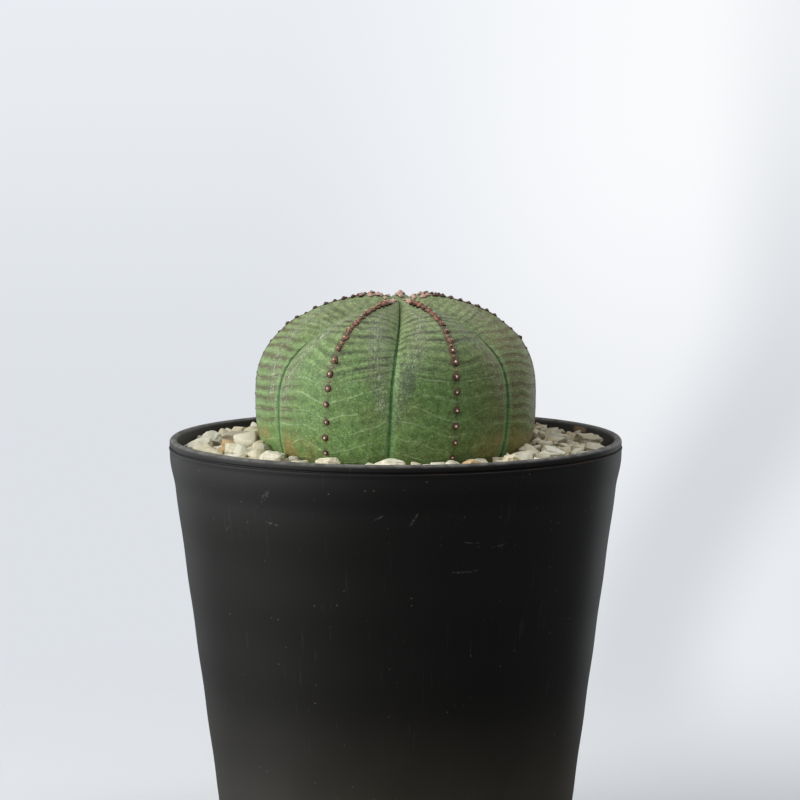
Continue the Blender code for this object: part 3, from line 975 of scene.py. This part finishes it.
def make_knob_bud(husk, pale, chance):
    """A shut bud: a lump of three scales with a short tip, pale where the scales part."""
    nothing_selected()
    bpy.ops.mesh.primitive_ico_sphere_add(subdivisions=2, radius=1.0)
    knob = bpy.context.object
    knob.scale = (1.0, 0.88, 0.60)
    apply_place(knob)
    turned = chance.uniform(0, FULL_TURN)
    for vertex in knob.data.vertices:
        around = math.atan2(vertex.co.y, vertex.co.x)
        crease = 0.20 * math.cos(3 * around + turned) * math.hypot(vertex.co.x, vertex.co.y)
        vertex.co += vertex.co.normalized() * (crease + chance.uniform(-0.10, 0.10))
    edit_all(knob)
    select_faces(knob, lambda face: math.hypot(face.center.x, face.center.y) < 0.40 and face.center.z > 0)
    bpy.ops.mesh.extrude_region_move(TRANSFORM_OT_translate={"value": (0.06, 0, 0.24)})
    bpy.ops.transform.resize(value=(0.42, 0.42, 0.42), center_override=(0.06, 0, 0.78))
    bpy.ops.object.mode_set(mode="OBJECT")
    mark_rise(knob, 0.60)
    knob.data.materials.append(husk)
    knob.data.materials.append(pale)
    for face in knob.data.polygons:
        face.material_index = 1 if face.select and chance.random() < 0.7 else 0
    only(knob)
    bpy.ops.object.shade_smooth_by_angle(angle=math.radians(48))
    return knob


# %% Bud finishes
def make_bud_husk(name, dark, light, young_light):
    """Rust scales, lighter on top and pinkish close to the crown, with painted shade that darkens them to
    nearly black where they meet the skin.
    """
    material, tree, shader = new_finish(name, Specular_IOR_Level=0.35)
    where = in_millimetres(tree)
    rise = stored(tree, "rise")
    spots = noise(where, 1.6, 3.0, 0.6)
    colour = blended(fade(spots, 0.38, 0.62), dark, light)
    young = fade(length_of(stretched(where, 1.0, 1.0, 0.0)), 10.0, 6.5)
    colour = blended(times(young, 0.75), colour, young_light)
    colour = blended(times(flecks(where, 2.4, 0.5, 0.4), 0.5), colour, (0.60, 0.42, 0.33))
    # painted shade: each bud is darkened to nearly black low down, where it meets the skin
    colour = blended(fade(rise, 0.60, 0.06), colour, (0.022, 0.011, 0.008))
    connect(shader, Base_Color=colour, Roughness=fade(spots, 0.2, 0.8, 0.55, 0.80),
            Normal=bump(noise(where, 4.0), 0.06 * MM, 0.7))
    return material


def make_bud_heart():
    material, tree, shader = new_finish("bud_heart", Specular_IOR_Level=0.4)
    mottle = noise(in_millimetres(tree), 2.0, 2.0)
    colour = blended(mottle, (0.70, 0.52, 0.40), (0.90, 0.78, 0.66))
    connect(shader, Base_Color=colour, Roughness=fade(mottle, 0.0, 1.0, 0.5, 0.7))
    return material


# %% Placing the buds
CUPS_FROM = 0.50
CUP_SINK, KNOB_SINK = 0.12, 0.05


def skin_matrix(turn, polar, size, sink, spin):
    """A bud's place: its Z axis along the skin's normal, sunk a little into it."""
    step = 0.01
    here = skin_point(turn, polar)
    down = (skin_point(turn, polar + step) - skin_point(turn, polar - step)).normalized()
    aside = (skin_point(turn + step, polar) - skin_point(turn - step, polar)).normalized()
    normal = down.cross(aside).normalized()
    if normal.dot(here - Vector((0, 0, EQUATOR - 4 * MM))) < 0:
        normal = -normal
    aside = down.cross(normal).normalized()
    axes = Matrix((aside, down, normal)).transposed().to_4x4()
    axes.translation = here + normal * (SWELLING - sink)
    return axes @ Matrix.Rotation(spin, 4, "Z") @ Matrix.Scale(size, 4)


HUSK = make_bud_husk("bud_husk", (0.085, 0.042, 0.028), (0.34, 0.170, 0.102), (0.60, 0.40, 0.32))
SIDE_HUSK = make_bud_husk(
    "bud_husk_dark", (0.050, 0.026, 0.026), (0.160, 0.075, 0.062), (0.56, 0.37, 0.30))
HEART = make_bud_heart()
chance = random.Random(BUD_SEED + 1)
cup_bud = make_cup_bud(HUSK, HEART)
knob_buds = [make_knob_bud(HUSK, HEART, chance) for _ in range(3)]


def bud_row(rib, row):
    copies = []
    for length, size, share in row:
        turn = ridge_turn(rib) + chance.uniform(-0.006, 0.006)
        kind = cup_bud if share > CUPS_FROM + chance.uniform(-0.05, 0.05) else chance.choice(knob_buds)
        sink = (CUP_SINK if kind is cup_bud else KNOB_SINK) * size
        if size <= LEAST_RAISED_BUD:
            sink += SWELLING
        place = skin_matrix(turn, polar_at(length), size, sink, chance.uniform(0, FULL_TURN))
        copies.append(copy_of(kind, place))
    return join(copies)


for rib, row in enumerate(BUD_ROWS):
    buds = bud_row(rib, row)
    if rib not in FRONT_RIBS:
        buds.data.materials[buds.data.materials.find(HUSK.name)] = SIDE_HUSK
    finish_piece(buds, f"rib_buds_{rib + 1}", [])

for rib in range(RIBS):
    low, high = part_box(f"crown_bud_{rib + 1}")
    size = 0.5 * (high.x - low.x)
    sink = SWELLING + 0.1 * size
    place = skin_matrix(ridge_turn(rib), polar_at(CROWN_BUD_LENGTH), size, sink, chance.uniform(0, 6.0))
    bud = copy_of(chance.choice(knob_buds), place)
    finish_piece(bud, f"crown_knob_{rib + 1}", [], [f"crown_bud_{rib + 1}"])

CLUSTER_LENGTHS = (3.4 * MM, 5.1 * MM)
CLUSTER_SIZES = (0.60, 0.98)
cluster = []
for rib in range(RIBS):
    for length in CLUSTER_LENGTHS:
        turn = ridge_turn(rib) + chance.uniform(-0.25, 0.25)
        size = chance.uniform(*CLUSTER_SIZES) * MM
        where = polar_at(length + chance.uniform(-0.5, 0.5) * MM)
        place = skin_matrix(turn, where, size, SWELLING + KNOB_SINK * size, chance.uniform(0, 6.0))
        cluster.append(copy_of(chance.choice(knob_buds), place))
finish_piece(join(cluster), "crown_cluster", [])

print("faces of the bud kinds:", [len(kind.data.polygons) for kind in [cup_bud] + knob_buds])
for template in [cup_bud] + knob_buds:
    bpy.data.objects.remove(template, do_unlink=True)

# %% [markdown]
# ## Gravel
#
# Crushed stone has flat broken faces and worn corners. A cube is cut by a dozen planes, its
# edges are bevelled, and the larger stones are rounded and pitted further. Every large stone
# keeps the box of its solid in the frame, and the small ones are dropped one by one into the
# gaps, each on what already lies there.

# %% Breaking one stone
STONE_GRAIN = bpy.data.textures.new("stone_grain", "CLOUDS")
STONE_GRAIN.noise_scale = 0.35
STONE_GRAIN.noise_depth = 3
CUT_REACH = (0.66, 0.94)
EDGE_WEAR = (0.12, 0.22)
PIT_DEPTH = 0.30


def fit_to(obj, size, centre):
    """Scales a mesh so that its box is exactly this size, and moves it to its centre."""
    points = [vertex.co.copy() for vertex in obj.data.vertices]
    low = [min(point[i] for point in points) for i in range(3)]
    high = [max(point[i] for point in points) for i in range(3)]
    for vertex in obj.data.vertices:
        for i in range(3):
            share = (vertex.co[i] - low[i]) / (high[i] - low[i]) - 0.5  # -0.5 to 0.5
            vertex.co[i] = centre[i] + share * size[i]


def break_stone(chance, cuts, fine):
    nothing_selected()
    bpy.ops.mesh.primitive_cube_add(size=2.0)
    stone = bpy.context.object
    edit_all(stone)
    for _ in range(cuts):
        way = Vector((chance.gauss(0, 1), chance.gauss(0, 1), chance.gauss(0, 0.8))).normalized()
        bpy.ops.mesh.select_all(action="SELECT")
        bpy.ops.mesh.bisect(
            plane_co=way * chance.uniform(*CUT_REACH), plane_no=way,
            use_fill=True, clear_outer=True)
    bpy.ops.mesh.select_all(action="SELECT")
    bpy.ops.mesh.remove_doubles(threshold=0.08)
    bpy.ops.object.mode_set(mode="OBJECT")
    bevel = stone.modifiers.new("Wear", "BEVEL")
    bevel.width = chance.uniform(*EDGE_WEAR)
    bevel.segments = 2
    bevel.limit_method = "ANGLE"
    bevel.angle_limit = math.radians(18)
    if fine:
        rounding = stone.modifiers.new("Round", "SUBSURF")
        rounding.levels = 2
        rounding.render_levels = 2
        pitting = stone.modifiers.new("Pits", "DISPLACE")
        pitting.texture = STONE_GRAIN
        pitting.strength = PIT_DEPTH
        pitting.mid_level = 0.5
    else:
        bevel.segments = 1
    apply_modifiers(stone)
    only(stone)
    bpy.ops.object.shade_smooth_by_angle(angle=math.radians(60 if fine else 50))
    return stone


def set_tint(obj, tint):
    attribute = obj.data.attributes.get("tint") or obj.data.attributes.new("tint", "FLOAT", "POINT")
    for item in attribute.data:
        item.value = tint


# %% [markdown]
# ## Stone colours
#
# The mix is mostly cream and off-white, with some tan, some grey and a few ochre stones. Each
# stone has one number, its tint, that picks its place on the colour ramp; clouds of rust and
# fine grains are laid over that.

# %% The gravel's finish
def make_gravel_finish():
    material, tree, shader = new_finish("gravel_stone", Specular_IOR_Level=0.4)
    where = in_millimetres(tree)
    ramp = add_node(tree, "ShaderNodeValToRGB", {"Fac": stored(tree, "tint")})
    stops = (
        (0.00, (0.82, 0.80, 0.66)), (0.30, (0.80, 0.745, 0.55)), (0.56, (0.72, 0.64, 0.45)),
        (0.72, (0.56, 0.53, 0.43)), (0.84, (0.60, 0.48, 0.30)), (0.95, (0.62, 0.43, 0.21)),
    )
    while len(ramp.color_ramp.elements) < len(stops):
        ramp.color_ramp.elements.new(0.5)
    for element, (position, colour) in zip(ramp.color_ramp.elements, stops):
        element.position = position
        element.color = (*colour, 1.0)
    colour = ramp.outputs["Color"]
    rust = patches(where, 0.32, 0.42, 0.22)
    colour = blended(times(rust, 0.38), colour, (0.60, 0.42, 0.20))
    pale = patches(shifted(where), 0.45, 0.5, 0.2)
    colour = blended(times(pale, 0.5), colour, (0.80, 0.79, 0.70))
    colour = blended(times(flecks(where, 1.6, 0.35, 0.35), 0.5), colour, (0.22, 0.18, 0.12))

    # painted shadow of the plant, in brown, on the stones behind it on the right, and painted shade on the
    # stones towards the back
    rightwards, backwards, _ = parts_of(where)
    plant_shadow_paint = times(fade(rightwards, 20.0, 38.0), fade(backwards, -14.0, 6.0), 0.55)
    colour = blended(plant_shadow_paint, colour, (0.37, 0.31, 0.20))
    # painted shade: the stones grow darker towards the back of the pot
    colour = blended(1.0, colour, grey(fade(backwards, -34.0, 24.0, 1.0, 0.66)), "MULTIPLY")
    grain = noise(where, 1.5, 5.0, 0.7)
    colour = blended(0.5, colour, grey(fade(grain, 0.25, 0.75, 0.75, 1.2)), "MULTIPLY")
    connect(shader, Base_Color=colour, Roughness=fade(grain, 0.2, 0.8, 0.55, 0.85),
            Normal=bump(grain, 0.22 * MM, 0.8))
    return material


GRAVEL = make_gravel_finish()

# %% The larger stones
STONE_SEED = 23
LARGE_STONE_CUTS = 16
FRONT_STONE_TINTS = {1: 0.18, 2: 0.90, 3: 0.45, 14: 0.10, 15: 0.25}
BALL_SHARE = 0.86

chance = random.Random(STONE_SEED)
large_stones = sorted(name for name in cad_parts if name.startswith("gravel_stone"))
balls = []
for number, node in enumerate(large_stones, 1):
    low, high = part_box(node)
    centre = (low + high) / 2
    stone = break_stone(chance, LARGE_STONE_CUTS, True)
    fit_to(stone, high - low, centre)
    set_tint(stone, FRONT_STONE_TINTS.get(number, chance.random() ** 1.4))
    finish_piece(stone, f"stone_{number:02d}", [GRAVEL], [node])
    balls.append((*centre, 0.25 * (high.x - low.x + high.y - low.y) * BALL_SHARE))

# %% [markdown]
# ## Dropping the small stones
#
# A stone stays where it can fall no further. Here each one tries several places between the
# stem and the wall and takes the lowest, resting on the bed or on stones already there, until
# the surface reaches the level that the gravel has: just under the lip at the wall, and higher
# against the stem.

# %% Dropping
FILL_SEED = 8
INNER_WALL = wall_radius(CREST - 5 * MM) - POT_WALL
NEAREST_THE_AXIS = 29.5 * MM
SMALL_RADII = (0.75, 0.95, 1.2, 1.5, 1.9, 2.3, 2.8)
FINE_BELOW, COARSE_ABOVE = 1.35 * MM, 2.5 * MM
COARSE_SIDE, COARSE_SPREAD = -108, 50
SMALL_STONE_KINDS = 12
SMALL_STONE_CUTS = 8
MOST_SMALL_STONES = 620
TRIES, MOST_MISSES = 14, 60
WALL_GAP, STEM_GAP, NESTLING = 0.92, 0.80, 0.72
MOUNDS = ((120, 42, 2.6), (-112, 45, 2.8))  # direction and spread in degrees, height in mm


def share_inwards(radius):
    """0 at the pot's inner wall, 1 at the stem."""
    return (INNER_WALL - radius) / (INNER_WALL - STEM_RADIUS)


def gravel_level(angle, radius):
    """The height that the gravel is filled to; angle 0 is the front, counted towards +X."""
    behind = 0.5 - 0.5 * math.cos(angle)
    at_wall = -3.7 + 1.4 * behind
    climb = 1.7 + 0.9 * behind
    for middle, spread, height in MOUNDS:
        climb += height * math.exp(-((math.degrees(angle) - middle) / spread) ** 2)
    return CREST + (at_wall + climb * share_inwards(radius)) * MM


def bed_level(radius):
    return CREST + (-5.4 + 1.2 * share_inwards(radius)) * MM


def stem_radius_at(height):
    if height > EQUATOR:
        return STEM_RADIUS
    share = (EQUATOR - height) / STEM_UNDER
    return STEM_RADIUS * max(1 - share ** LOWER_FULLNESS, 0.0) ** (1 / LOWER_FULLNESS)


def resting_height(x, y, radius):
    height = bed_level(math.hypot(x, y)) + 0.55 * radius
    for bx, by, bz, other in balls:
        gap = (x - bx) ** 2 + (y - by) ** 2
        reach = radius + other
        if gap < reach * reach:
            height = max(height, bz + NESTLING * math.sqrt(reach * reach - gap))
    return height


def drop_small_stones():
    chance = random.Random(FILL_SEED)
    placed = []
    misses = 0
    while len(placed) < MOST_SMALL_STONES and misses < MOST_MISSES:
        radius = chance.choice(SMALL_RADII) * MM * chance.uniform(0.92, 1.08)
        best = None
        for _ in range(TRIES):
            angle = chance.uniform(-math.pi, math.pi)
            reach = math.sqrt(chance.uniform(NEAREST_THE_AXIS ** 2, INNER_WALL ** 2))
            x, y = reach * math.sin(angle), -reach * math.cos(angle)
            if reach > INNER_WALL - WALL_GAP * radius:
                continue
            coarse = abs(math.degrees(angle) - COARSE_SIDE) < COARSE_SPREAD
            if (radius < FINE_BELOW and coarse) or (radius > COARSE_ABOVE and not coarse):
                continue
            height = resting_height(x, y, radius)
            if reach < stem_radius_at(height) + STEM_GAP * radius:
                continue
            over = height + 0.7 * radius - gravel_level(angle, reach)
            if over < 0 and (best is None or over < best[0]):
                best = (over, x, y, height)
        if best is None:
            misses += 1
            continue
        misses = 0
        placed.append((*best[1:], radius))
        balls.append(placed[-1])
    return placed


placed = drop_small_stones()
print("small stones dropped:", len(placed))

# %% Making the fill
chance = random.Random(FILL_SEED + 1)
kinds = []
for _ in range(SMALL_STONE_KINDS):
    kind = break_stone(chance, SMALL_STONE_CUTS, False)
    longer = chance.uniform(1.05, 1.35)
    fit_to(kind, (2.1 * longer, 2.1, 2.1 * chance.uniform(0.62, 0.85)), (0, 0, 0))
    kinds.append(kind)
print("faces of the small stone kinds:", [len(kind.data.polygons) for kind in kinds])

copies = []
for x, y, z, radius in placed:
    place = Matrix.Translation((x, y, z)) @ Matrix.Rotation(chance.uniform(0, FULL_TURN), 4, "Z")
    for axis in "XY":
        place = place @ Matrix.Rotation(chance.gauss(0, 0.35), 4, axis)
    place = place @ Matrix.Scale(radius, 4)
    copy = copy_of(chance.choice(kinds), place)
    set_tint(copy, chance.random() ** 1.45)
    copies.append(copy)
finish_piece(join(copies), "gravel_fill", [GRAVEL])
for kind in kinds:
    bpy.data.objects.remove(kind, do_unlink=True)

# %% [markdown]
# ## What stays from the frame
#
# The bed under the loose stones, the potting mix, the drainage layer and the roots keep their
# solids. They hardly show, but each gets its own finish: grit, crumbly peat, coarse grit and
# pale bark.

# %% Finishes for the carried-over solids
# a word in the node's name: the finish's name, its dark, light and speck colours, the crumbs'
# scale, the share of specks and the relief in millimetres
EARTHY = {
    "gravel_bed": (
        "bed_grit", (0.16, 0.13, 0.09), (0.56, 0.50, 0.38), (0.75, 0.71, 0.60), 0.55, 0.6, 0.9),
    "soil": (
        "potting_mix", (0.020, 0.014, 0.009), (0.085, 0.058, 0.036), (0.55, 0.52, 0.46), 0.45, 0.15, 0.8),
    "drainage": (
        "drainage_grit", (0.12, 0.10, 0.08), (0.36, 0.32, 0.27), (0.55, 0.50, 0.44), 0.30, 0.5, 1.0),
    "root": (
        "root_bark", (0.16, 0.10, 0.055), (0.42, 0.31, 0.20), (0.50, 0.40, 0.28), 0.9, 0.3, 0.3),
}


def make_earthy(name, dark, light, speck, scale, speck_amount, relief):
    material, tree, shader = new_finish(name, Specular_IOR_Level=0.3)
    where = in_millimetres(tree)
    crumbs = noise(where, scale, 5.0, 0.7)
    colour = blended(fade(crumbs, 0.3, 0.7), dark, light)
    colour = blended(times(flecks(where, scale, speck_amount, 0.5), 0.8), colour, speck)
    connect(shader, Base_Color=colour, Roughness=fade(crumbs, 0.0, 1.0, 0.75, 0.95),
            Normal=bump(crumbs, relief * MM, 1.0))
    return material


for word, recipe in EARTHY.items():
    material = make_earthy(*recipe)
    for node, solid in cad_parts.items():
        if word in node:
            solid.data.materials.clear()
            solid.data.materials.append(material)

# %% [markdown]
# ## Stage, light and camera
#
# A pale floor runs into a pale background with a soft glow and one soft fold of shade. The key
# is a large soft light at the left, a wide weak one stands beside it, a third hangs over the
# plant, and a strip behind on each side draws the bright edges down the pot. The camera stands a
# little above the rim with a long lens.

# %% The floor and background
FLOOR_RADIUS = 3.0


def make_floor_finish():
    """Matt paint near the pot. Further out the floor clears away and the backdrop shows."""
    material, tree, shader = new_finish("studio_floor", Roughness=0.9, Specular_IOR_Level=0.1)
    where = add_node(tree, "ShaderNodeTexCoord").outputs["Object"]
    seen = add_node(tree, "ShaderNodeLightPath").outputs["Is Camera Ray"]
    grain = noise(where, 40.0, 2.0)
    paint = blended(times(grain, 0.1), (0.70, 0.72, 0.75), (0.67, 0.69, 0.72))
    connect(shader, Base_Color=blended(seen, (0.10, 0.10, 0.10), paint))
    clear = add_node(tree, "ShaderNodeBsdfTransparent")
    mix = add_node(tree, "ShaderNodeMixShader", {
        0: fade(length_of(where), 0.10, 0.30), 1: shader.outputs["BSDF"], 2: clear.outputs["BSDF"]})
    give(tree.nodes["Material Output"].inputs["Surface"], mix.outputs["Shader"])
    return material


nothing_selected()
bpy.ops.mesh.primitive_circle_add(vertices=96, radius=FLOOR_RADIUS, fill_type="NGON", location=(0, 0, 0))
floor = bpy.context.object
floor.name = "studio_floor"
floor.data.materials.append(make_floor_finish())


def make_world():
    """A pale backdrop with a soft glow, and a much weaker light for all that isn't the camera."""
    world = bpy.data.worlds.new("studio")
    bpy.context.scene.world = world
    world.use_nodes = True
    tree = world.node_tree
    tree.nodes.clear()
    way = add_node(tree, "ShaderNodeTexCoord").outputs["Generated"]
    x, _, z = parts_of(way)
    tone = blended(fade(z, -0.12, 0.05), (0.725, 0.755, 0.795), (0.82, 0.85, 0.89))
    glow = fade(calc("ABSOLUTE", minus(plus(x, -0.100), times(z, 0.09))), 0.155, 0.0)
    tone = blended(times(glow, fade(z, -0.14, 0.0, 0.5, 1.0)), tone, (0.955, 0.965, 0.985))
    fold = times(calc("POWER", fade(z, -0.25, -0.06), 1.6), 0.070)
    shade = fade(calc("ABSOLUTE", minus(x, plus(fold, 0.082))), 0.046, 0.004)
    shade = times(shade, fade(z, 0.06, -0.16, 0.25, 1.0), 0.66)
    tone = blended(shade, tone, (0.575, 0.605, 0.635))
    seen = add_node(tree, "ShaderNodeLightPath").outputs["Is Camera Ray"]
    shown = add_node(tree, "ShaderNodeBackground", {"Color": tone, "Strength": 1.0})
    ambient = add_node(tree, "ShaderNodeBackground", {"Color": (0.96, 0.98, 1.0), "Strength": 0.29})
    mix = add_node(tree, "ShaderNodeMixShader", {
        0: seen, 1: ambient.outputs["Background"], 2: shown.outputs["Background"]})
    add_node(tree, "ShaderNodeOutputWorld", {"Surface": mix.outputs["Shader"]})


make_world()

# %% Lights
PLANT_CENTRE = Vector((0.0, 0.0, CREST))
LIGHTS = {  # place, width and height, watts, colour
    "key": ((-0.95, -0.40, 0.50), (0.9, 0.9), 13.6, (1.0, 0.99, 0.96)),
    "left_wall": ((-1.10, 0.15, 0.25), (1.0, 1.0), 3.0, (1.0, 1.0, 1.0)),
    "overhead": ((0.32, 0.05, 1.05), (0.8, 0.8), 5.2, (1.0, 1.0, 1.0)),
    "edge_right": ((0.65, 0.95, 0.20), (0.25, 0.9), 1.6, (0.95, 0.98, 1.0)),
    "edge_left": ((-0.70, 0.85, 0.20), (0.25, 0.9), 1.2, (0.95, 0.98, 1.0)),
}

for name, (place, size, power, colour) in LIGHTS.items():
    data = bpy.data.lights.new(name, "AREA")
    data.shape = "RECTANGLE"
    data.size, data.size_y = size
    data.energy = power
    data.color = colour
    lamp = bpy.data.objects.new(name, data)
    bpy.context.scene.collection.objects.link(lamp)
    lamp.location = place
    lamp.rotation_euler = (PLANT_CENTRE - Vector(place)).to_track_quat("-Z", "Y").to_euler()
    lamp.visible_camera = False

# %% Camera
CAMERA_DISTANCE = 0.62
CAMERA_ABOVE_CREST = 75.7 * MM
CAMERA_TILT = math.radians(6.2)
CAMERA_ASIDE = 1.0 * MM
LENS = 121.0

camera_data = bpy.data.cameras.new("camera")
camera_data.lens = LENS
camera_data.sensor_width = 36.0
camera = bpy.data.objects.new("camera", camera_data)
bpy.context.scene.collection.objects.link(camera)
camera.location = (CAMERA_ASIDE, -CAMERA_DISTANCE, CREST + CAMERA_ABOVE_CREST)
camera.rotation_euler = (math.pi / 2 - CAMERA_TILT, 0.0, 0.0)
bpy.context.scene.camera = camera
bpy.context.scene.view_settings.view_transform = "Standard"

nothing_selected()
